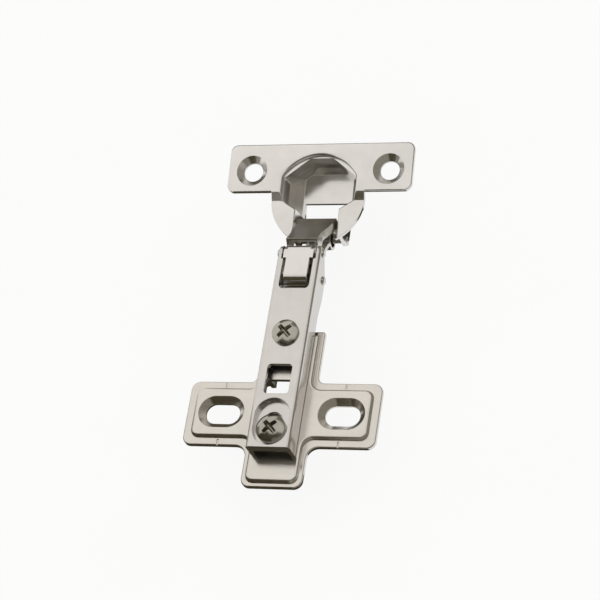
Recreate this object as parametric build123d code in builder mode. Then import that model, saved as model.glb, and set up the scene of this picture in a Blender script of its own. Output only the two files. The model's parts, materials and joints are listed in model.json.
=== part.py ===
"""Small concealed cabinet hinge: wing plate, folded arm, two links and a 26 mm cup.

All sizes are millimetres. The origin lies midway between the plate's two slots, on the
cabinet wall. +X runs along the wings, +Y towards the door and +Z away from the wall.
The hinge stands open, with the cup's flange tilted a little up at its far edge.
"""

import os
from math import atan2, cos, degrees, radians, sin, sqrt

from build123d import *

os.makedirs("parts", exist_ok=True)

# Fits
running_gap = 0.05
seat_gap = 0.02
slide_gap = 0.15

# Mounting plate
plate_sheet = 1.2
wing_span = 51.2
wing_depth = 17.7
wing_corner = 2.3
edge_round = 0.35
wing_border = 2.0
spine_width = 16.2
spine_front = 23.3
spine_rear = -20.0
spine_border = 1.1
spine_corner = 0.5
front_crotch = 2.0
rear_crotch = 3.0
pad_corner = 2.2
pad_crotch = 2.6
pad_rise = 1.0
pad_round = 0.85
pad_wall = 0.9
slot_spacing = 32.0
slot_length = 9.2
slot_width = 5.5
dish_depth = 1.6
dish_flare = 1.6
dish_rim = 0.7
tick_width = 0.4
tick_depth = 0.25
tick_length = 1.6
rib_side_gap = 0.35
rib_rear = -9.6
rib_top = 5.1
rib_end_margin = 1.6
rib_round = 1.1
rib_window_rear = 1.0
rib_window_front = 7.8
rib_window_flare = 0.85
neck_slot_rear = 14.6

# Hinge arm
arm_width = 11.6
arm_sheet = 1.15
arm_top = 8.1
arm_rear = -12.0
arm_bend = 0.9
wall_foot_gap = 0.25
arm_step = 27.0
recess_front = 1.4
recess_depth = 1.6
clamp_slot_width = 5.0
clamp_slot_front = -1.8
clamp_slot_room = 0.9
recess_end_wall = 0.55
window_rear = 2.6
window_front = 10.8
window_width = 6.6
window_corner = 1.0
fork_rear = 32.3
fork_strip = 0.55
fork_corner = 1.4
strip_front = 41.0
rear_boss = 2.2

# Pivots
front_pin_y = 43.4
front_pin_z = 6.1
rear_pin_y = 37.2
rear_pin_z = 2.8
arm_pin_radius = 1.1
cup_pin_radius = 0.9
pin_stand_out = 0.5
pin_chamfer = 0.25

# Cup, in its own frame: origin on the cup's axis at the flange's top face
cup_y = 62.5
cup_z = 2.0
cup_tilt = 9.0
cup_sheet = 1.0
flange_sheet = 1.2
flange_width = 51.2
flange_front = 1.75
flange_back = 15.25
flange_corner = 2.0
screw_line = 7.8
screw_end = 6.6
screw_hole = 5.2
sink_width = 8.6
sink_depth = 1.5
sink_land = 0.6
sink_wall = 0.8
lobe_drop = 1.0
lobe_back = -0.6
lobe_lip = 0.5
pocket_radius = 11.85
pocket_side_flat = 1.85
pocket_flat_half = 3.2
facet_inset = 0.35
pocket_neck = -0.4
pocket_corner = 1.6
pocket_depth = 9.4
pocket_side_bevel = 3.2
pocket_back_bevel = 1.5
mouth_lip = 1.0
mouth_depth = 1.15
wall_margin = 1.6
channel_gap = 0.6
channel_throat = -2.8
floor_front = 1.6
outer_pivot_inset = 4.75
outer_pivot_z = -4.8
inner_pivot_inset = 3.55
inner_pivot_z = -8.0

# Outer link
link_sheet = 0.85
link_side_gap = 0.4
link_cup_half = 5.4
link_flare_start = 5.5
link_flare_end = 12.0
link_arm_eye = 1.75
link_cup_eye = 2.0
link_lower_edge = 1.2
link_arch_start = 6.0
link_arch_rise = 1.5
link_arch_end = 3.2
web_arm_end = 1.35
web_arm_rise = 3.7
web_cup_end = 15.2
web_cup_rise = 4.0

# Inner link
inner_strip_gap = 0.4
inner_sheet = 1.1
inner_eye_wall = 0.7
inner_side_gap = 0.25
inner_bow = 1.2
open_pivot_play = 0.95

# Closing spring
spring_sheet = 0.5
spring_side_gap = 0.25
spring_head_gap = 0.6
spring_head_rear = 41.0
spring_rear = 34.4
spring_lower_end = 40.4
spring_hook_corner = 1.25
spring_hook_turn = 115.0

# Screws
overlay_y = 19.5
overlay_head = 6.9
overlay_head_height = 1.5
overlay_dome = 0.9
overlay_thread = 4.6
overlay_neck = 3.0
overlay_collar = 4.9
overlay_collar_height = 0.8
fixing_y = -6.7
fixing_head = 7.6
fixing_head_height = 2.3
fixing_dome = 1.2
fixing_shank = 4.0
fixing_length = 6.2
cross_length = 4.6
cross_width = 1.3
cross_depth = 1.6
cross_taper_angle = 20.0

# Places that follow from the sizes above
pad_top = plate_sheet + pad_rise
wall_foot = pad_top + wall_foot_gap
arm_inner = arm_width - 2 * arm_sheet
rib_width = arm_inner - 2 * rib_side_gap
rib_window_width = arm_inner + 2 * rib_window_flare
fork_width = arm_inner - 2 * fork_strip
link_arm_half = arm_inner / 2 - link_side_gap
inner_arm_half = arm_inner / 2 - inner_side_gap
inner_half = link_arm_half - link_sheet - inner_strip_gap
spring_half = link_arm_half - link_sheet - spring_side_gap
spring_head_half = arm_inner / 2 - spring_head_gap
channel_half = link_cup_half + channel_gap
lobe_radius = pocket_radius + cup_sheet
outer_pivot_y = outer_pivot_inset - lobe_radius
inner_pivot_y = inner_pivot_inset - lobe_radius
screw_spacing = flange_width - 2 * screw_end
pocket_half = pocket_radius - pocket_side_flat
pocket_flat_y = sqrt(pocket_radius**2 - pocket_flat_half**2)
facet_y = sqrt(pocket_radius**2 - pocket_half**2) - facet_inset
arm_ceiling = arm_top - arm_sheet
shelf_top = arm_top - recess_depth
shelf_bottom = rib_top + slide_gap
front_ear = arm_top - front_pin_z
tilt = radians(cup_tilt)
cup_along = (0, cos(tilt), sin(tilt))
cup_up = (0, -sin(tilt), cos(tilt))
cup_plane = Plane(origin=(0, cup_y, cup_z), x_dir=(1, 0, 0), z_dir=cup_up)
cup_side = Plane(origin=(0, cup_y, cup_z), x_dir=cup_along, z_dir=(1, 0, 0))
cup_cross = Plane(origin=(0, cup_y, cup_z), x_dir=(1, 0, 0), z_dir=(0, -cos(tilt), -sin(tilt)))
outer_pivot = cup_side.from_local_coords((outer_pivot_y, outer_pivot_z, 0))
inner_pivot = cup_side.from_local_coords((inner_pivot_y, inner_pivot_z, 0))


def cross_recess(top, y):
    """Cut a tapered cross-shaped driver recess, turned an eighth, into a screw head."""
    with BuildSketch(Plane(origin=(0, y, top))) as cross:
        Rectangle(cross_length, cross_width, rotation=45)
        Rectangle(cross_length, cross_width, rotation=135)
    extrude(cross.sketch, amount=-cross_depth, taper=cross_taper_angle, mode=Mode.SUBTRACT)


def pin_across(radius, inner, outer, y, z):
    """A pin along X from one distance to another, with a small chamfer at each end."""
    with Locations(((inner + outer) / 2, y, z)):
        Cylinder(radius, abs(outer - inner), rotation=(0, 90, 0))
    chamfer(edges().filter_by(GeomType.CIRCLE), pin_chamfer)


# Mounting plate: a pressed wing plate with a raised pad, dished slots and a hollow rib
def plate_cross(wing_inset, spine_inset, corner, front_round, rear_round):
    """The plate's cross-shaped outline, drawn in from its edges, with rounded corners."""
    Rectangle(wing_span - 2 * wing_inset, wing_depth - 2 * wing_inset)
    with Locations((0, (spine_front + spine_rear) / 2)):
        Rectangle(spine_width - 2 * spine_inset, spine_front - spine_rear - 2 * spine_inset)
    wing_end = wing_span / 2 - wing_inset - seat_gap
    wing_side = wing_depth / 2 - wing_inset + seat_gap

    def outer(vertex):
        return abs(vertex.X) > wing_end or abs(vertex.Y) > wing_side

    fillet(vertices().filter_by(lambda v: not outer(v) and v.Y > 0), front_round)
    fillet(vertices().filter_by(lambda v: not outer(v) and v.Y < 0 and v.Y > -wing_side), rear_round)
    far = wing_side + front_round + rear_round
    fillet(vertices().filter_by(lambda v: abs(v.X) > wing_end or v.Y < -far), corner)
    fillet(vertices().filter_by(lambda v: v.Y > far), spine_corner)


with BuildPart() as mounting_plate:
    with BuildSketch():
        plate_cross(0, 0, wing_corner, front_crotch, rear_crotch)
    extrude(amount=plate_sheet)
    fillet(faces().sort_by(Axis.Z)[-1].edges(), edge_round)
    with BuildSketch(Plane.XY.offset(plate_sheet)):
        plate_cross(wing_border, spine_border, pad_corner, pad_crotch, pad_crotch)
    extrude(amount=pad_rise)
    fillet(faces().sort_by(Axis.Z)[-1].edges(), pad_round)
    with BuildSketch():
        plate_cross(wing_border + pad_wall, spine_border + pad_wall, edge_round, pad_crotch, pad_crotch)
    extrude(amount=pad_rise, mode=Mode.SUBTRACT)
    with BuildSketch():
        with GridLocations(slot_spacing, 0, 2, 1):
            SlotOverall(slot_length + 2 * dish_flare + 2 * dish_rim, slot_width + 2 * dish_flare + 2 * dish_rim)
    extrude(amount=pad_top)
    with BuildSketch(Plane.XY.offset(pad_top)):
        with GridLocations(slot_spacing, 0, 2, 1):
            SlotOverall(slot_length + 2 * dish_flare, slot_width + 2 * dish_flare)
    extrude(amount=-dish_depth, taper=degrees(atan2(dish_flare, dish_depth)), mode=Mode.SUBTRACT)
    with BuildSketch():
        with GridLocations(slot_spacing, 0, 2, 1):
            SlotOverall(slot_length, slot_width)
    extrude(amount=pad_top, mode=Mode.SUBTRACT)
    with BuildSketch(Plane.XY.offset(plate_sheet - tick_depth)):
        with GridLocations(slot_spacing, wing_depth - tick_length, 2, 2):
            Rectangle(tick_width, tick_length)
    extrude(amount=pad_rise, mode=Mode.SUBTRACT)
    rib_front = spine_front - spine_border - rib_end_margin
    rib_length = rib_front - rib_rear
    rib_middle = (rib_front + rib_rear) / 2
    with BuildSketch():
        with Locations((0, rib_middle)):
            RectangleRounded(rib_width, rib_length, rib_round)
    extrude(amount=rib_top)
    fillet(faces().sort_by(Axis.Z)[-1].edges(), rib_round)
    with BuildSketch():
        with Locations((0, rib_middle)):
            Rectangle(rib_width - 2 * plate_sheet, rib_length - 2 * plate_sheet)
    extrude(amount=rib_top - plate_sheet, mode=Mode.SUBTRACT)
    with BuildSketch():
        with Locations((0, fixing_y)):
            Circle(fixing_shank / 2 + running_gap)
        with Locations((0, (rib_window_rear + rib_window_front) / 2)):
            RectangleRounded(rib_window_width, rib_window_front - rib_window_rear, window_corner)
        neck_width = overlay_neck + 4 * slide_gap
        with Locations((0, (neck_slot_rear + spine_front) / 2)):
            Rectangle(neck_width, spine_front - neck_slot_rear)
    extrude(amount=rib_top, mode=Mode.SUBTRACT)
    with BuildSketch(Plane.XY.offset(pad_top)):
        with Locations((0, (neck_slot_rear + spine_front) / 2)):
            Rectangle(overlay_collar + 4 * slide_gap, spine_front - neck_slot_rear)
    extrude(amount=rib_top - plate_sheet - pad_top, mode=Mode.SUBTRACT)
mounting_plate.part.label = "mounting_plate"
export_step(mounting_plate.part, "parts/mounting_plate.step")

# Hinge arm: a channel folded from one strip
with BuildPart() as hinge_arm:
    with BuildSketch(Plane.YZ):
        with BuildLine():
            Polyline(
                (arm_rear, wall_foot),
                (arm_step, wall_foot),
                (rear_pin_y - rear_boss / 2, rear_pin_z - rear_boss),
                (rear_pin_y, rear_pin_z - rear_boss),
                (front_pin_y, front_pin_z),
                (front_pin_y, arm_top),
                (arm_rear, arm_top),
                close=True,
            )
        make_face()
        with BuildSketch(mode=Mode.ADD):
            with Locations((front_pin_y, front_pin_z)):
                Circle(front_ear)
            with Locations((rear_pin_y, rear_pin_z)):
                Circle(rear_boss)
            make_hull()
    extrude(amount=arm_width / 2, both=True)
    fillet(edges().filter_by(Axis.Y).group_by(Axis.Z)[-1], arm_bend)
    with BuildSketch(Plane.XY.offset(arm_ceiling)):
        with Locations((0, (arm_rear + front_pin_y) / 2)):
            Rectangle(arm_inner, 2 * (front_pin_y - arm_rear))
    extrude(amount=-2 * arm_top, mode=Mode.SUBTRACT)
    with BuildSketch(Plane.XY.offset(shelf_bottom)):
        with Locations((0, (arm_rear + window_rear) / 2)):
            Rectangle(arm_inner, window_rear - arm_rear)
    extrude(amount=arm_top - shelf_bottom)
    with BuildSketch(Plane.XY.offset(shelf_top)):
        recess_rear = arm_rear + recess_end_wall
        with Locations((0, (recess_front + recess_rear) / 2)):
            SlotOverall(recess_front - recess_rear, arm_inner, rotation=90)
    extrude(amount=recess_depth, mode=Mode.SUBTRACT)
    with BuildSketch(Plane.XY.offset(shelf_bottom)):
        clamp_slot_rear = fixing_y - fixing_shank / 2 - clamp_slot_room
        with Locations((0, (clamp_slot_front + clamp_slot_rear) / 2)):
            SlotOverall(clamp_slot_front - clamp_slot_rear, clamp_slot_width, rotation=90)
    extrude(amount=recess_depth, mode=Mode.SUBTRACT)
    with BuildSketch(Plane.XY.offset(arm_ceiling)) as top_openings:
        with Locations((0, (window_rear + window_front) / 2)):
            RectangleRounded(window_width, window_front - window_rear, window_corner)
        with Locations((0, overlay_y)):
            Circle(overlay_thread / 2 + running_gap)
        with Locations((0, (fork_rear + 2 * front_pin_y) / 2)):
            RectangleRounded(fork_width, 2 * front_pin_y - fork_rear, fork_corner)
        with Locations((0, strip_front + front_pin_y)):
            Rectangle(arm_inner, 2 * front_pin_y)
    extrude(amount=2 * arm_sheet, mode=Mode.SUBTRACT)
    with BuildSketch(Plane.YZ):
        with Locations((front_pin_y, front_pin_z), (rear_pin_y, rear_pin_z)):
            Circle(arm_pin_radius + seat_gap)
    extrude(amount=arm_width, both=True, mode=Mode.SUBTRACT)
hinge_arm.part.label = "hinge_arm"
export_step(hinge_arm.part, "parts/hinge_arm.step")

# Pins of the arm: straight pins that stand out a little beyond the walls
arm_pin_half = arm_width / 2 + pin_stand_out
with BuildPart() as arm_pin_front:
    pin_across(arm_pin_radius, -arm_pin_half, arm_pin_half, front_pin_y, front_pin_z)
arm_pin_front.part.label = "arm_pin_front"
export_step(arm_pin_front.part, "parts/arm_pin_front.step")
with BuildPart() as arm_pin_rear:
    pin_across(arm_pin_radius, -arm_pin_half, arm_pin_half, rear_pin_y, rear_pin_z)
arm_pin_rear.part.label = "arm_pin_rear"
export_step(arm_pin_rear.part, "parts/arm_pin_rear.step")

# Outer link: a folded channel with a web and two cheeks that flare towards the cup
outer_run = outer_pivot - Vector(0, front_pin_y, front_pin_z)
outer_length = outer_run.length
outer_along = (0, outer_run.Y / outer_length, outer_run.Z / outer_length)
outer_out = (0, -outer_along[2], outer_along[1])
outer_side = Plane(origin=(0, front_pin_y, front_pin_z), x_dir=outer_along, z_dir=(1, 0, 0))
outer_plan = Plane(origin=(0, front_pin_y, front_pin_z), x_dir=(1, 0, 0), z_dir=outer_out)


def link_plan(arm_half, cup_half):
    """The link's outline seen square to its web."""
    rear = -2 * link_cup_eye
    front = outer_length + 2 * link_cup_eye
    with BuildSketch() as plan:
        with BuildLine():
            Polyline(
                (arm_half, rear),
                (arm_half, link_flare_start),
                (cup_half, link_flare_end),
                (cup_half, front),
                (-cup_half, front),
                (-cup_half, link_flare_end),
                (-arm_half, link_flare_start),
                (-arm_half, rear),
                close=True,
            )
        make_face()
    return plan.sketch


with BuildPart() as outer_link:
    with BuildSketch(outer_side):
        with BuildLine():
            Polyline(
                (0, -link_lower_edge),
                (link_arch_start / 2, 0),
                (link_arch_start, link_arch_rise),
                (outer_length - link_arch_end, link_arch_rise),
                (outer_length, -link_cup_eye),
                (outer_length + link_cup_eye, 0),
                (web_cup_end, web_cup_rise),
                (web_arm_end, web_arm_rise),
                (web_arm_end, link_arm_eye),
                (0, link_arm_eye),
                close=True,
            )
        make_face()
        Circle(link_arm_eye)
        with Locations((outer_length, 0)):
            Circle(link_cup_eye)
    extrude(amount=link_cup_half, both=True)
    with BuildSketch(outer_plan):
        add(link_plan(link_arm_half, link_cup_half))
    extrude(amount=outer_length, both=True, mode=Mode.INTERSECT)

with BuildPart() as link_hollow:
    with BuildSketch(outer_side):
        with BuildLine():
            Polyline(
                (-outer_length, web_arm_rise - link_sheet),
                (web_arm_end, web_arm_rise - link_sheet),
                (web_cup_end, web_cup_rise - link_sheet),
                (2 * outer_length, web_cup_rise - link_sheet),
                (2 * outer_length, -outer_length),
                (-outer_length, -outer_length),
                close=True,
            )
        make_face()
    extrude(amount=link_cup_half, both=True)
    with BuildSketch(outer_plan):
        add(link_plan(link_arm_half - link_sheet, link_cup_half - link_sheet))
    extrude(amount=2 * outer_length, both=True, mode=Mode.INTERSECT)

with outer_link:
    add(link_hollow.part, mode=Mode.SUBTRACT)
    with BuildSketch(outer_side):
        Circle(arm_pin_radius + running_gap)
        with Locations((outer_length, 0)):
            Circle(cup_pin_radius + running_gap)
    extrude(amount=2 * link_cup_half, both=True, mode=Mode.SUBTRACT)
outer_link.part.label = "outer_link"
export_step(outer_link.part, "parts/outer_link.step")

# Inner link: a bowed strip with a rolled eye at each end
inner_run = inner_pivot - Vector(0, rear_pin_y, rear_pin_z)
inner_length = inner_run.length
inner_along = (0, inner_run.Y / inner_length, inner_run.Z / inner_length)
inner_side = Plane(origin=(0, rear_pin_y, rear_pin_z), x_dir=inner_along, z_dir=(1, 0, 0))
inner_arm_bore = arm_pin_radius + running_gap
inner_cup_bore = cup_pin_radius + open_pivot_play
with BuildPart() as inner_link:
    with BuildSketch(inner_side):
        with BuildLine():
            ThreePointArc((0, 0), (inner_length / 2, inner_bow), (inner_length, 0))
        trace(line_width=inner_sheet)
        with Locations((inner_length, 0)):
            Circle(inner_cup_bore + inner_eye_wall)
    extrude(amount=inner_half, both=True)
    with BuildSketch(inner_side):
        Circle(inner_arm_bore + inner_eye_wall)
    extrude(amount=inner_arm_half, both=True)
    with BuildSketch(inner_side):
        Circle(inner_arm_bore)
        with Locations((inner_length, 0)):
            Circle(inner_cup_bore)
    extrude(amount=arm_width, both=True, mode=Mode.SUBTRACT)
inner_link.part.label = "inner_link"
export_step(inner_link.part, "parts/inner_link.step")

# Closing spring: a hairpin leaf, hooked over the front pin, with a wider head
leaf_under = front_pin_z + link_arm_eye + slide_gap
leaf_middle = leaf_under + spring_sheet / 2
lower_middle = rear_pin_z + inner_arm_bore + inner_eye_wall + 2 * slide_gap + spring_sheet / 2
bend_radius = (leaf_middle - lower_middle) / 2
bend_y = spring_rear + bend_radius + spring_sheet / 2
hook_radius = arm_pin_radius + running_gap + spring_sheet / 2
hook_y = front_pin_y + hook_radius
hook_end = radians(-spring_hook_turn)
with BuildPart() as closing_spring:
    with BuildSketch(Plane.YZ):
        with BuildLine():
            Line((spring_lower_end, lower_middle), (bend_y, lower_middle))
            ThreePointArc(
                (bend_y, lower_middle),
                (bend_y - bend_radius, (lower_middle + leaf_middle) / 2),
                (bend_y, leaf_middle),
            )
            Line((bend_y, leaf_middle), (hook_y - spring_hook_corner, leaf_middle))
            RadiusArc(
                (hook_y - spring_hook_corner, leaf_middle),
                (hook_y, leaf_middle - spring_hook_corner),
                spring_hook_corner,
            )
            Line((hook_y, leaf_middle - spring_hook_corner), (hook_y, front_pin_z))
            ThreePointArc(
                (hook_y, front_pin_z),
                (front_pin_y + hook_radius * cos(hook_end / 2), front_pin_z + hook_radius * sin(hook_end / 2)),
                (front_pin_y + hook_radius * cos(hook_end), front_pin_z + hook_radius * sin(hook_end)),
            )
        trace(line_width=spring_sheet)
    extrude(amount=spring_half, both=True)
    with BuildSketch(Plane.XY.offset(leaf_under)):
        with Locations((0, (spring_head_rear + hook_y - spring_hook_corner) / 2)):
            Rectangle(2 * spring_head_half, hook_y - spring_hook_corner - spring_head_rear)
    extrude(amount=spring_sheet)
closing_spring.part.label = "closing_spring"
export_step(closing_spring.part, "parts/closing_spring.step")


# Hinge cup: one pressing with a screw flange, two lobes, a pocket and a channel for the links
def pocket_plan(grow):
    """The pocket and channel seen along the cup's axis, grown outwards."""
    front = -2 * lobe_radius
    with BuildSketch() as plan:
        with BuildLine():
            Polyline(
                (channel_half, front),
                (channel_half, channel_throat),
                (pocket_half, pocket_neck),
                (pocket_half, facet_y),
                (pocket_flat_half, pocket_flat_y),
                (-pocket_flat_half, pocket_flat_y),
                (-pocket_half, facet_y),
                (-pocket_half, pocket_neck),
                (-channel_half, channel_throat),
                (-channel_half, front),
                close=True,
            )
        make_face()
        if grow > 0:
            offset(amount=grow, kind=Kind.INTERSECTION)
    return plan.sketch


def pocket_body(grow, top):
    """The pocket's solid form with bevelled floor edges, grown outwards by a wall."""
    floor = -pocket_depth - grow
    half = pocket_half + grow
    back = pocket_flat_y + grow
    with BuildPart() as body:
        with BuildSketch(cup_plane.offset(floor)):
            add(pocket_plan(grow))
        extrude(amount=top - floor)
        with BuildSketch(cup_cross):
            with BuildLine():
                Polyline(
                    (half, top),
                    (half, floor + pocket_side_bevel),
                    (half - pocket_side_bevel, floor),
                    (-half + pocket_side_bevel, floor),
                    (-half, floor + pocket_side_bevel),
                    (-half, top),
                    close=True,
                )
            make_face()
        extrude(amount=3 * lobe_radius, both=True, mode=Mode.INTERSECT)
        with BuildSketch(cup_side):
            with BuildLine():
                Polyline(
                    (-3 * lobe_radius, top),
                    (back, top),
                    (back, floor + pocket_back_bevel),
                    (back - pocket_back_bevel, floor),
                    (-3 * lobe_radius, floor),
                    close=True,
                )
            make_face()
        extrude(amount=2 * lobe_radius, both=True, mode=Mode.INTERSECT)
    return body.part


pocket_shell = pocket_body(cup_sheet, -lobe_drop)
pocket_hollow = pocket_body(0, cup_sheet)
sink_angle = degrees(atan2((sink_width - screw_hole) / 2, sink_depth))


def in_cup(shape):
    """A shape's middle in the cup's own frame."""
    return cup_plane.to_local_coords(shape.center())


with BuildPart() as flange:
    with BuildSketch(cup_plane.offset(-flange_sheet)):
        with Locations((0, (flange_front + flange_back) / 2)):
            RectangleRounded(flange_width, flange_back - flange_front, flange_corner)
    extrude(amount=flange_sheet)
    top_edges = flange.edges().filter_by(lambda e: abs(in_cup(e).Z) < seat_gap)
    fillet(top_edges, edge_round)

with BuildPart() as hinge_cup:
    with BuildSketch(cup_side):
        with BuildLine():
            Polyline(
                (-lobe_radius, -lobe_drop),
                (lobe_back, -lobe_drop),
                (flange_front, 0),
                (flange_front + flange_sheet, 0),
                (flange_front + flange_sheet, -flange_sheet),
                (flange_front, -flange_sheet),
                (lobe_back, -lobe_drop - cup_sheet),
                (-lobe_radius, -lobe_drop - cup_sheet),
                close=True,
            )
        make_face()
    extrude(amount=lobe_radius, both=True)
    with BuildSketch(cup_plane.offset(-lobe_radius)):
        Circle(lobe_radius)
        with Locations((0, lobe_radius / 2)):
            Rectangle(2 * lobe_radius, lobe_radius)
    extrude(amount=2 * lobe_radius, mode=Mode.INTERSECT)
    add(pocket_shell)
    with BuildSketch(cup_plane.offset(-lobe_radius)):
        Circle(lobe_radius)
        with Locations((0, lobe_radius)):
            Rectangle(2 * lobe_radius, 2 * lobe_radius)
    extrude(amount=2 * lobe_radius, mode=Mode.INTERSECT)
    with BuildSketch(cup_side):
        with BuildLine():
            Polyline(
                (-2 * lobe_radius, -lobe_drop - cup_sheet),
                (outer_pivot_y - wall_margin, -lobe_drop - cup_sheet),
                (inner_pivot_y - wall_margin, inner_pivot_z),
                (inner_pivot_y - wall_margin / 2, inner_pivot_z - wall_margin),
                (channel_throat, -pocket_depth - cup_sheet),
                (channel_throat, -2 * lobe_radius),
                (-2 * lobe_radius, -2 * lobe_radius),
                close=True,
            )
        make_face()
    extrude(amount=lobe_radius, both=True, mode=Mode.SUBTRACT)
    add(flange.part)
    with BuildSketch(cup_plane.offset(-sink_depth - sink_land)):
        with Locations((-screw_spacing / 2, screw_line), (screw_spacing / 2, screw_line)):
            Circle(screw_hole / 2 + sink_wall)
    extrude(amount=sink_depth + sink_land, taper=-sink_angle)
    split(bisect_by=cup_plane, keep=Keep.BOTTOM)
    add(pocket_hollow, mode=Mode.SUBTRACT)
    with BuildSketch(cup_plane.offset(-mouth_depth)) as mouth:
        Circle(pocket_radius)
        with Locations((0, pocket_neck + pocket_radius)):
            Rectangle(2 * pocket_half, 2 * pocket_radius, mode=Mode.INTERSECT)
        far = mouth.vertices().filter_by(lambda v: v.Y > facet_y)
        fillet(far, pocket_corner)
    extrude(amount=2 * mouth_depth, mode=Mode.SUBTRACT)
    with BuildSketch(cup_plane.offset(-2 * lobe_radius)):
        with Locations((0, (floor_front - 2 * lobe_radius) / 2)):
            Rectangle(2 * channel_half, 2 * lobe_radius + floor_front)
    extrude(amount=3 * lobe_radius, mode=Mode.SUBTRACT)
    with BuildSketch(cup_plane):
        with Locations((-screw_spacing / 2, screw_line), (screw_spacing / 2, screw_line)):
            Circle(sink_width / 2)
    extrude(amount=-sink_depth, taper=sink_angle, mode=Mode.SUBTRACT)
    with BuildSketch(cup_plane):
        with Locations((-screw_spacing / 2, screw_line), (screw_spacing / 2, screw_line)):
            Circle(screw_hole / 2)
    extrude(amount=-2 * sink_depth, mode=Mode.SUBTRACT)
    with BuildSketch(cup_side):
        with Locations((outer_pivot_y, outer_pivot_z), (inner_pivot_y, inner_pivot_z)):
            Circle(cup_pin_radius + seat_gap)
    extrude(amount=lobe_radius, both=True, mode=Mode.SUBTRACT)
    pocket_edges = hinge_cup.edges().filter_by(lambda e: abs(in_cup(e).X) <= pocket_half + seat_gap)
    lobe_edges = pocket_edges.filter_by(
        lambda e: abs(in_cup(e).Z + lobe_drop) < seat_gap and -lobe_radius < in_cup(e).Y < lobe_back
    )
    mouth_edges = pocket_edges.filter_by(
        lambda e: abs(in_cup(e).Z) < seat_gap and flange_front < in_cup(e).Y < flange_back - cup_sheet
    )
    fillet(lobe_edges, lobe_lip)
    fillet(mouth_edges, mouth_lip)
hinge_cup.part.label = "hinge_cup"
export_step(hinge_cup.part, "parts/hinge_cup.step")

# Cup pins: a short rivet in each wall for the outer link, and one long pin for the inner link
cup_outside = channel_half + cup_sheet + pin_stand_out / 2
rivet_inside = link_cup_half - link_sheet - pin_stand_out
with BuildPart() as cup_rivet_left:
    pin_across(cup_pin_radius, -cup_outside, -rivet_inside, outer_pivot.Y, outer_pivot.Z)
cup_rivet_left.part.label = "cup_rivet_left"
export_step(cup_rivet_left.part, "parts/cup_rivet_left.step")
with BuildPart() as cup_rivet_right:
    pin_across(cup_pin_radius, rivet_inside, cup_outside, outer_pivot.Y, outer_pivot.Z)
cup_rivet_right.part.label = "cup_rivet_right"
export_step(cup_rivet_right.part, "parts/cup_rivet_right.step")
with BuildPart() as cup_pin_inner:
    pin_across(cup_pin_radius, -cup_outside, cup_outside, inner_pivot.Y, inner_pivot.Z)
cup_pin_inner.part.label = "cup_pin_inner"
export_step(cup_pin_inner.part, "parts/cup_pin_inner.step")

# Overlay screw: threaded in the arm, with a groove that runs in the rib's front slot
overlay_under = arm_top + slide_gap
overlay_top = overlay_under + overlay_head_height
overlay_shoulder = rib_top + slide_gap
overlay_groove = rib_top - plate_sheet - slide_gap
with BuildPart() as overlay_screw:
    with BuildSketch(Plane.XZ.offset(-overlay_y)):
        with BuildLine():
            Polyline(
                (overlay_head / 2, overlay_top - overlay_dome),
                (overlay_head / 2, overlay_under),
                (overlay_thread / 2, overlay_under),
                (overlay_thread / 2, overlay_shoulder),
                (overlay_neck / 2, overlay_shoulder),
                (overlay_neck / 2, overlay_groove),
                (overlay_collar / 2, overlay_groove),
                (overlay_collar / 2, overlay_groove - overlay_collar_height),
                (0, overlay_groove - overlay_collar_height),
                (0, overlay_top),
            )
            TangentArc((0, overlay_top), (overlay_head / 2, overlay_top - overlay_dome), tangent=(1, 0))
        make_face()
    revolve(axis=Axis((0, overlay_y, 0), (0, 0, 1)))
    cross_recess(overlay_top, overlay_y)
overlay_screw.part.label = "overlay_screw"
export_step(overlay_screw.part, "parts/overlay_screw.step")

# Fixing screw: clamps the arm's rear shelf on the rib
fixing_under = shelf_top + slide_gap
fixing_top = fixing_under + fixing_head_height
with BuildPart() as fixing_screw:
    with BuildSketch(Plane.XZ.offset(-fixing_y)):
        with BuildLine():
            Polyline(
                (fixing_head / 2, fixing_top - fixing_dome),
                (fixing_head / 2, fixing_under),
                (fixing_shank / 2, fixing_under),
                (fixing_shank / 2, fixing_under - fixing_length),
                (0, fixing_under - fixing_length),
                (0, fixing_top),
            )
            TangentArc((0, fixing_top), (fixing_head / 2, fixing_top - fixing_dome), tangent=(1, 0))
        make_face()
    revolve(axis=Axis((0, fixing_y, 0), (0, 0, 1)))
    cross_recess(fixing_top, fixing_y)
fixing_screw.part.label = "fixing_screw"
export_step(fixing_screw.part, "parts/fixing_screw.step")
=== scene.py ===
import json
import math

import bpy
from mathutils import Matrix, Vector


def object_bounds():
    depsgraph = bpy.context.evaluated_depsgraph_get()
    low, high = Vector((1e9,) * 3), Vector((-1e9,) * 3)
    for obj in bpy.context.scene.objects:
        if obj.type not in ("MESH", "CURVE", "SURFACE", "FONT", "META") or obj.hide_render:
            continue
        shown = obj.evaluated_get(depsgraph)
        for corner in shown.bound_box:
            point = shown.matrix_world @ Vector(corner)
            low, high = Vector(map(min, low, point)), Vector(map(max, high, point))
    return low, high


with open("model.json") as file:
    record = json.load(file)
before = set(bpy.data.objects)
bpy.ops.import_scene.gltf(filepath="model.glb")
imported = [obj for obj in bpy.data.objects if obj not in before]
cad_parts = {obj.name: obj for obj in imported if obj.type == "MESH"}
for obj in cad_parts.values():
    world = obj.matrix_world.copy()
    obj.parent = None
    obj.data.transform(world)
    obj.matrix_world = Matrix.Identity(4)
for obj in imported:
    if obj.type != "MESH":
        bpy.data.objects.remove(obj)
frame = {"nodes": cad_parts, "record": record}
cad_low, cad_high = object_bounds()
scene = bpy.context.scene
scene.view_settings.view_transform = "Standard"

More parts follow.
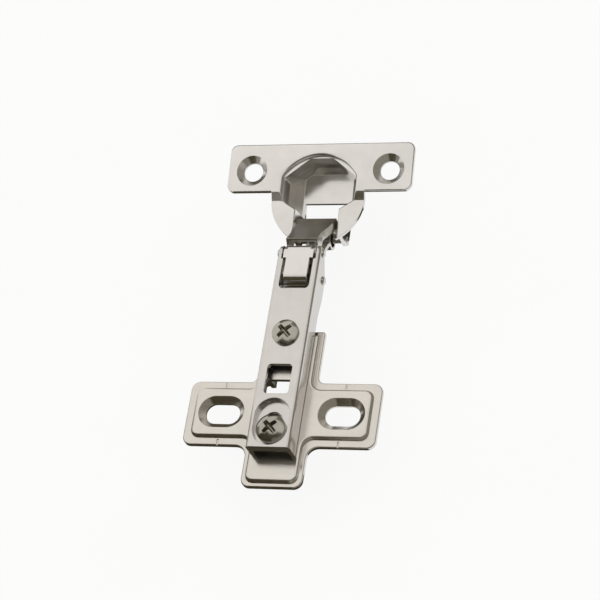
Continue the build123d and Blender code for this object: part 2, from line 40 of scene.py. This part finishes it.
# Camera, fitted to the photograph's edges
IMAGE_WIDTH = 600
FOCAL_PIXELS = 2352.7
SENSOR_MM = 36.0
NEAR_CLIP = 0.01
FAR_CLIP = 20.0
EYE = Vector((0.1925, -0.2309, 0.5141))
CAMERA_RIGHT = Vector((0.9484, 0.1475, -0.2806))
CAMERA_UP = Vector((-0.0029, 0.8892, 0.4576))
CAMERA_BACK = Vector((0.317, -0.4332, 0.8437))

camera_data = bpy.data.cameras.new("camera")
camera_data.sensor_width = SENSOR_MM
camera_data.lens = FOCAL_PIXELS * SENSOR_MM / IMAGE_WIDTH
camera_data.clip_start = NEAR_CLIP
camera_data.clip_end = FAR_CLIP
camera = bpy.data.objects.new("camera", camera_data)
turn = Matrix((CAMERA_RIGHT, CAMERA_UP, CAMERA_BACK)).transposed()
camera.matrix_world = Matrix.Translation(EYE) @ turn.to_4x4()
scene.collection.objects.link(camera)
scene.camera = camera

# Span of a noise texture that is spread over a range of colours or numbers
NOISE_LOW = 0.3
NOISE_HIGH = 0.7


class Nodes:
    """Short calls for one material's node tree."""

    def __init__(self, name):
        self.material = bpy.data.materials.new(name)
        self.material.use_nodes = True
        self.tree = self.material.node_tree
        self.shader = self.tree.nodes["Principled BSDF"]

    def add(self, kind, **values):
        """A new node with some of its input sockets set."""
        node = self.tree.nodes.new(kind)
        for key, value in values.items():
            node.inputs[key.replace("_", " ")].default_value = value
        return node

    def link(self, start, end):
        self.tree.links.new(start, end)

    def stretched(self, stretch):
        """Object coordinates with a stretch along each axis."""
        place = self.add("ShaderNodeTexCoord")
        mapping = self.add("ShaderNodeMapping", Scale=stretch)
        self.link(place.outputs["Object"], mapping.inputs["Vector"])
        return mapping.outputs["Vector"]

    def noise(self, vector, scale, detail):
        node = self.add("ShaderNodeTexNoise", Scale=scale, Detail=detail)
        self.link(vector, node.inputs["Vector"])
        return node.outputs["Fac"]

    def spread(self, value, low, high):
        """A noise value turned into a span of numbers."""
        node = self.add(
            "ShaderNodeMapRange", From_Min=NOISE_LOW, From_Max=NOISE_HIGH, To_Min=low, To_Max=high
        )
        self.link(value, node.inputs["Value"])
        return node.outputs["Result"]

    def colours(self, value, dark, light):
        """A noise value turned into a blend of two colours."""
        node = self.add("ShaderNodeValToRGB")
        first, last = node.color_ramp.elements
        first.position = NOISE_LOW
        first.color = (*dark, 1)
        last.position = NOISE_HIGH
        last.color = (*light, 1)
        self.link(value, node.inputs["Fac"])
        return node.outputs["Color"]

    def total(self, first, second):
        """The sum of two values."""
        node = self.add("ShaderNodeMath")
        node.operation = "ADD"
        self.link(first, node.inputs[0])
        self.link(second, node.inputs[1])
        return node.outputs["Value"]


# Plated metal: rolled grain, cloudy plating, tiny pits and softened edges
GRAIN_SCALE = 900.0
GRAIN_DETAIL = 3
CLOUD_SCALE = 160.0
CLOUD_DETAIL = 4
PIT_SCALE = 2600.0
PIT_DETAIL = 2
PIT_SHARE = 0.5
BUMP_DEPTH = 0.00004
EDGE_RADIUS = 0.00018
EDGE_SAMPLES = 6
ALONG_ARM = (1.0, 0.08, 1.0)
ALONG_WINGS = (0.08, 1.0, 1.0)
EVEN = (1.0, 1.0, 1.0)


def plated_metal(name, dark, light, smooth, rough, stretch, bump):
    """Bare metal from dark to light, with its grain along the stretched axis."""
    look = Nodes(name)
    shader = look.shader
    shader.inputs["Metallic"].default_value = 1.0
    even_place = look.stretched(EVEN)
    grain = look.noise(look.stretched(stretch), GRAIN_SCALE, GRAIN_DETAIL)
    cloud = look.noise(even_place, CLOUD_SCALE, CLOUD_DETAIL)
    pits = look.noise(even_place, PIT_SCALE, PIT_DETAIL)
    look.link(look.colours(cloud, dark, light), shader.inputs["Base Color"])
    grain_gloss = look.spread(grain, smooth, rough)
    cloud_gloss = look.spread(cloud, 0.0, rough - smooth)
    look.link(look.total(grain_gloss, cloud_gloss), shader.inputs["Roughness"])
    soft_edges = look.add("ShaderNodeBevel", Radius=EDGE_RADIUS)
    soft_edges.samples = EDGE_SAMPLES
    relief = look.add("ShaderNodeBump", Strength=bump, Distance=BUMP_DEPTH)
    look.link(soft_edges.outputs["Normal"], relief.inputs["Normal"])
    look.link(look.total(grain, look.spread(pits, 0.0, PIT_SHARE)), relief.inputs["Height"])
    look.link(relief.outputs["Normal"], shader.inputs["Normal"])
    return look.material


# Finish of each material slot
FINISHES = {
    "plate_nickel": dict(
        dark=(0.64, 0.615, 0.57), light=(0.70, 0.675, 0.63),
        smooth=0.15, rough=0.21, stretch=ALONG_WINGS, bump=0.10,
    ),
    "arm_nickel": dict(
        dark=(0.61, 0.59, 0.565), light=(0.67, 0.65, 0.625),
        smooth=0.16, rough=0.22, stretch=ALONG_ARM, bump=0.12,
    ),
    "cup_nickel": dict(
        dark=(0.72, 0.705, 0.68), light=(0.79, 0.775, 0.75),
        smooth=0.14, rough=0.20, stretch=ALONG_WINGS, bump=0.10,
    ),
    "link_nickel": dict(
        dark=(0.62, 0.60, 0.56), light=(0.69, 0.67, 0.63),
        smooth=0.16, rough=0.22, stretch=ALONG_ARM, bump=0.12,
    ),
    "spring_steel": dict(
        dark=(0.69, 0.67, 0.645), light=(0.75, 0.735, 0.71),
        smooth=0.13, rough=0.18, stretch=ALONG_ARM, bump=0.08,
    ),
    "screw_nickel": dict(
        dark=(0.39, 0.375, 0.33), light=(0.49, 0.47, 0.415),
        smooth=0.12, rough=0.18, stretch=EVEN, bump=0.08,
    ),
    "pin_steel": dict(
        dark=(0.57, 0.555, 0.53), light=(0.66, 0.645, 0.62),
        smooth=0.16, rough=0.22, stretch=EVEN, bump=0.08,
    ),
}
looks = {slot: plated_metal(slot, **finish) for slot, finish in FINISHES.items()}
slot_of = {row["node"]: row["material_slot"] for row in frame["record"]["subparts"]}
for name, node in frame["nodes"].items():
    for place in node.material_slots:
        place.material = looks[slot_of[name]]

# Stage: matt sheets with faint clouds
STAGE_ROUGHNESS = 0.9
STAGE_CLOUD_SCALE = 40.0
STAGE_CLOUD_DETAIL = 2


def flat_sheet(name, outlines):
    """A stage object made of one flat face for each outline."""
    corners = []
    faces = []
    for outline in outlines:
        faces.append(tuple(range(len(corners), len(corners) + len(outline))))
        corners.extend(outline)
    mesh = bpy.data.meshes.new(name)
    mesh.from_pydata(corners, [], faces)
    obj = bpy.data.objects.new(name, mesh)
    scene.collection.objects.link(obj)
    return obj


def level_outline(left, right, near, far, height):
    """The corners of a level rectangle."""
    return [(left, near, height), (right, near, height), (right, far, height), (left, far, height)]


def cloudy_look(name, dark, light):
    """A matt material with faint clouds."""
    look = Nodes(name)
    look.shader.inputs["Roughness"].default_value = STAGE_ROUGHNESS
    clouds = look.noise(look.stretched(EVEN), STAGE_CLOUD_SCALE, STAGE_CLOUD_DETAIL)
    look.link(look.colours(clouds, dark, light), look.shader.inputs["Base Color"])
    return look


def seen_rays(tree):
    """One for rays from the camera, reflections and clear materials, else nought."""
    path = tree.nodes.new("ShaderNodeLightPath")
    seen = path.outputs["Is Camera Ray"]
    for name in ("Is Glossy Ray", "Is Transmission Ray"):
        most = tree.nodes.new("ShaderNodeMath")
        most.operation = "MAXIMUM"
        tree.links.new(seen, most.inputs[0])
        tree.links.new(path.outputs[name], most.inputs[1])
        seen = most.outputs["Value"]
    return seen


# Floor: pale, lifted to white where the camera or a reflection sees it, and clear of the cup when shut
FLOOR_DROP = 0.0045
FLOOR_HALF = 3.0
FLOOR_WHITE = 0.88
FLOOR_DARK = (0.84, 0.84, 0.835)
FLOOR_LIGHT = (0.88, 0.88, 0.875)
floor_z = cad_low.z - FLOOR_DROP
floor = flat_sheet("floor", [level_outline(-FLOOR_HALF, FLOOR_HALF, -FLOOR_HALF, FLOOR_HALF, floor_z)])
floor_look = cloudy_look("floor", FLOOR_DARK, FLOOR_LIGHT)
glow = floor_look.add("ShaderNodeEmission", Strength=1.0)
white_share = floor_look.add("ShaderNodeMath")
white_share.operation = "MULTIPLY"
white_share.inputs[1].default_value = FLOOR_WHITE
floor_look.link(seen_rays(floor_look.tree), white_share.inputs[0])
blend = floor_look.add("ShaderNodeMixShader")
floor_look.link(white_share.outputs["Value"], blend.inputs["Fac"])
floor_look.link(floor_look.shader.outputs["BSDF"], blend.inputs[1])
floor_look.link(glow.outputs["Emission"], blend.inputs[2])
floor_look.link(blend.outputs["Shader"], floor_look.tree.nodes["Material Output"].inputs["Surface"])
floor.data.materials.append(floor_look.material)

# Backdrop: soft light all round, seen as white at eye level and greyer overhead
SKY_COLOUR = (1.0, 0.975, 0.94, 1)
SKY_LIGHT = 0.9
SKY_LOW = 1.0
SKY_HIGH = 0.86
world = bpy.data.worlds.new("studio")
scene.world = world
world.use_nodes = True
sky = world.node_tree
backdrop = sky.nodes["Background"]
backdrop.inputs["Color"].default_value = SKY_COLOUR
direction = sky.nodes.new("ShaderNodeTexCoord")
parts = sky.nodes.new("ShaderNodeSeparateXYZ")
sky.links.new(direction.outputs["Generated"], parts.inputs["Vector"])
fade = sky.nodes.new("ShaderNodeMapRange")
fade.inputs["To Min"].default_value = SKY_LOW
fade.inputs["To Max"].default_value = SKY_HIGH
sky.links.new(parts.outputs["Z"], fade.inputs["Value"])
sky_level = sky.nodes.new("ShaderNodeMapRange")
sky_level.inputs["To Min"].default_value = SKY_LIGHT
sky.links.new(fade.outputs["Result"], sky_level.inputs["To Max"])
sky.links.new(seen_rays(sky), sky_level.inputs["Value"])
sky.links.new(sky_level.outputs["Result"], backdrop.inputs["Strength"])

# Cards beside and below the object, seen only in its reflections
MIDDLE = Vector((0.0, 0.03, 0.0))
CARD_RADIUS = 0.085
CARD_STEP = 10
BLACK_DARK = (0.052, 0.041, 0.014)
BLACK_LIGHT = (0.062, 0.051, 0.022)
GREY_DARK = (0.295, 0.279, 0.24)
GREY_LIGHT = (0.315, 0.299, 0.26)

# Upright cards on a ring: first and last angle in degrees, then lower and upper edge above the floor
FRONT_CARD = (-150, -90, 0.0, 0.23)
RAISED_CARD = (-90, -30, 0.10, 0.23)
BACK_CARD = (90, 130, 0.0, 0.05)
SIDE_CARD = (-90, 90, 0.0, 0.10)
LEFT_CARD = (-180, -150, 0.0, 0.06)

# Level cards just above the floor, which share their left edge: right, near and far edge
CARD_LIFT = 0.0005
LEVEL_LEFT = -0.045
UNDER_PLATE = (0.024, -0.080, -0.010)
UNDER_ARM = (0.006, -0.010, 0.034)
UNDER_LINKS = (0.001, 0.034, 0.058)
UNDER_CUP = (0.024, 0.058, 0.066)


def ring_point(angle, height):
    """A point on the ring of cards, at a height above the floor."""
    x = MIDDLE.x + CARD_RADIUS * math.cos(math.radians(angle))
    y = MIDDLE.y + CARD_RADIUS * math.sin(math.radians(angle))
    return (x, y, floor_z + height)


def upright_card(first, last, low, high):
    """The outlines of a card that bends round part of the ring."""
    outlines = []
    for angle in range(first, last, CARD_STEP):
        after = angle + CARD_STEP
        foot = [ring_point(angle, low), ring_point(after, low)]
        head = [ring_point(after, high), ring_point(angle, high)]
        outlines.append(foot + head)
    return outlines


def level_card(right, near, far):
    """The outline of a card that lies just above the floor."""
    return [level_outline(LEVEL_LEFT, right, near, far, floor_z + CARD_LIFT)]


def reflected_cards(name, cards, dark, light):
    """One stage object of several cards, for reflections alone."""
    obj = flat_sheet(name, [outline for card in cards for outline in card])
    obj.visible_camera = False
    obj.visible_diffuse = False
    obj.visible_shadow = False
    obj.data.materials.append(cloudy_look(name, dark, light).material)


black_cards = [upright_card(*card) for card in (FRONT_CARD, RAISED_CARD, BACK_CARD)]
black_cards += [level_card(*card) for card in (UNDER_PLATE, UNDER_ARM, UNDER_LINKS, UNDER_CUP)]
grey_cards = [upright_card(*card) for card in (SIDE_CARD, LEFT_CARD)]
reflected_cards("black_cards", black_cards, BLACK_DARK, BLACK_LIGHT)
reflected_cards("grey_cards", grey_cards, GREY_DARK, GREY_LIGHT)

# Softbox overhead, which faces the object
LAMP_PLACE = Vector((-0.35, 0.55, 0.90))
LAMP_SIDE = 0.5
LAMP_POWER = 0.1
LAMP_COLOUR = (1.0, 0.97, 0.94)
lamp_data = bpy.data.lights.new("overhead", "AREA")
lamp_data.shape = "RECTANGLE"
lamp_data.size = LAMP_SIDE
lamp_data.size_y = LAMP_SIDE
lamp_data.energy = LAMP_POWER
lamp_data.color = LAMP_COLOUR
lamp = bpy.data.objects.new("overhead", lamp_data)
lamp.location = LAMP_PLACE
lamp.rotation_mode = "QUATERNION"
lamp.rotation_quaternion = (MIDDLE - LAMP_PLACE).to_track_quat("-Z", "Y")
scene.collection.objects.link(lamp)
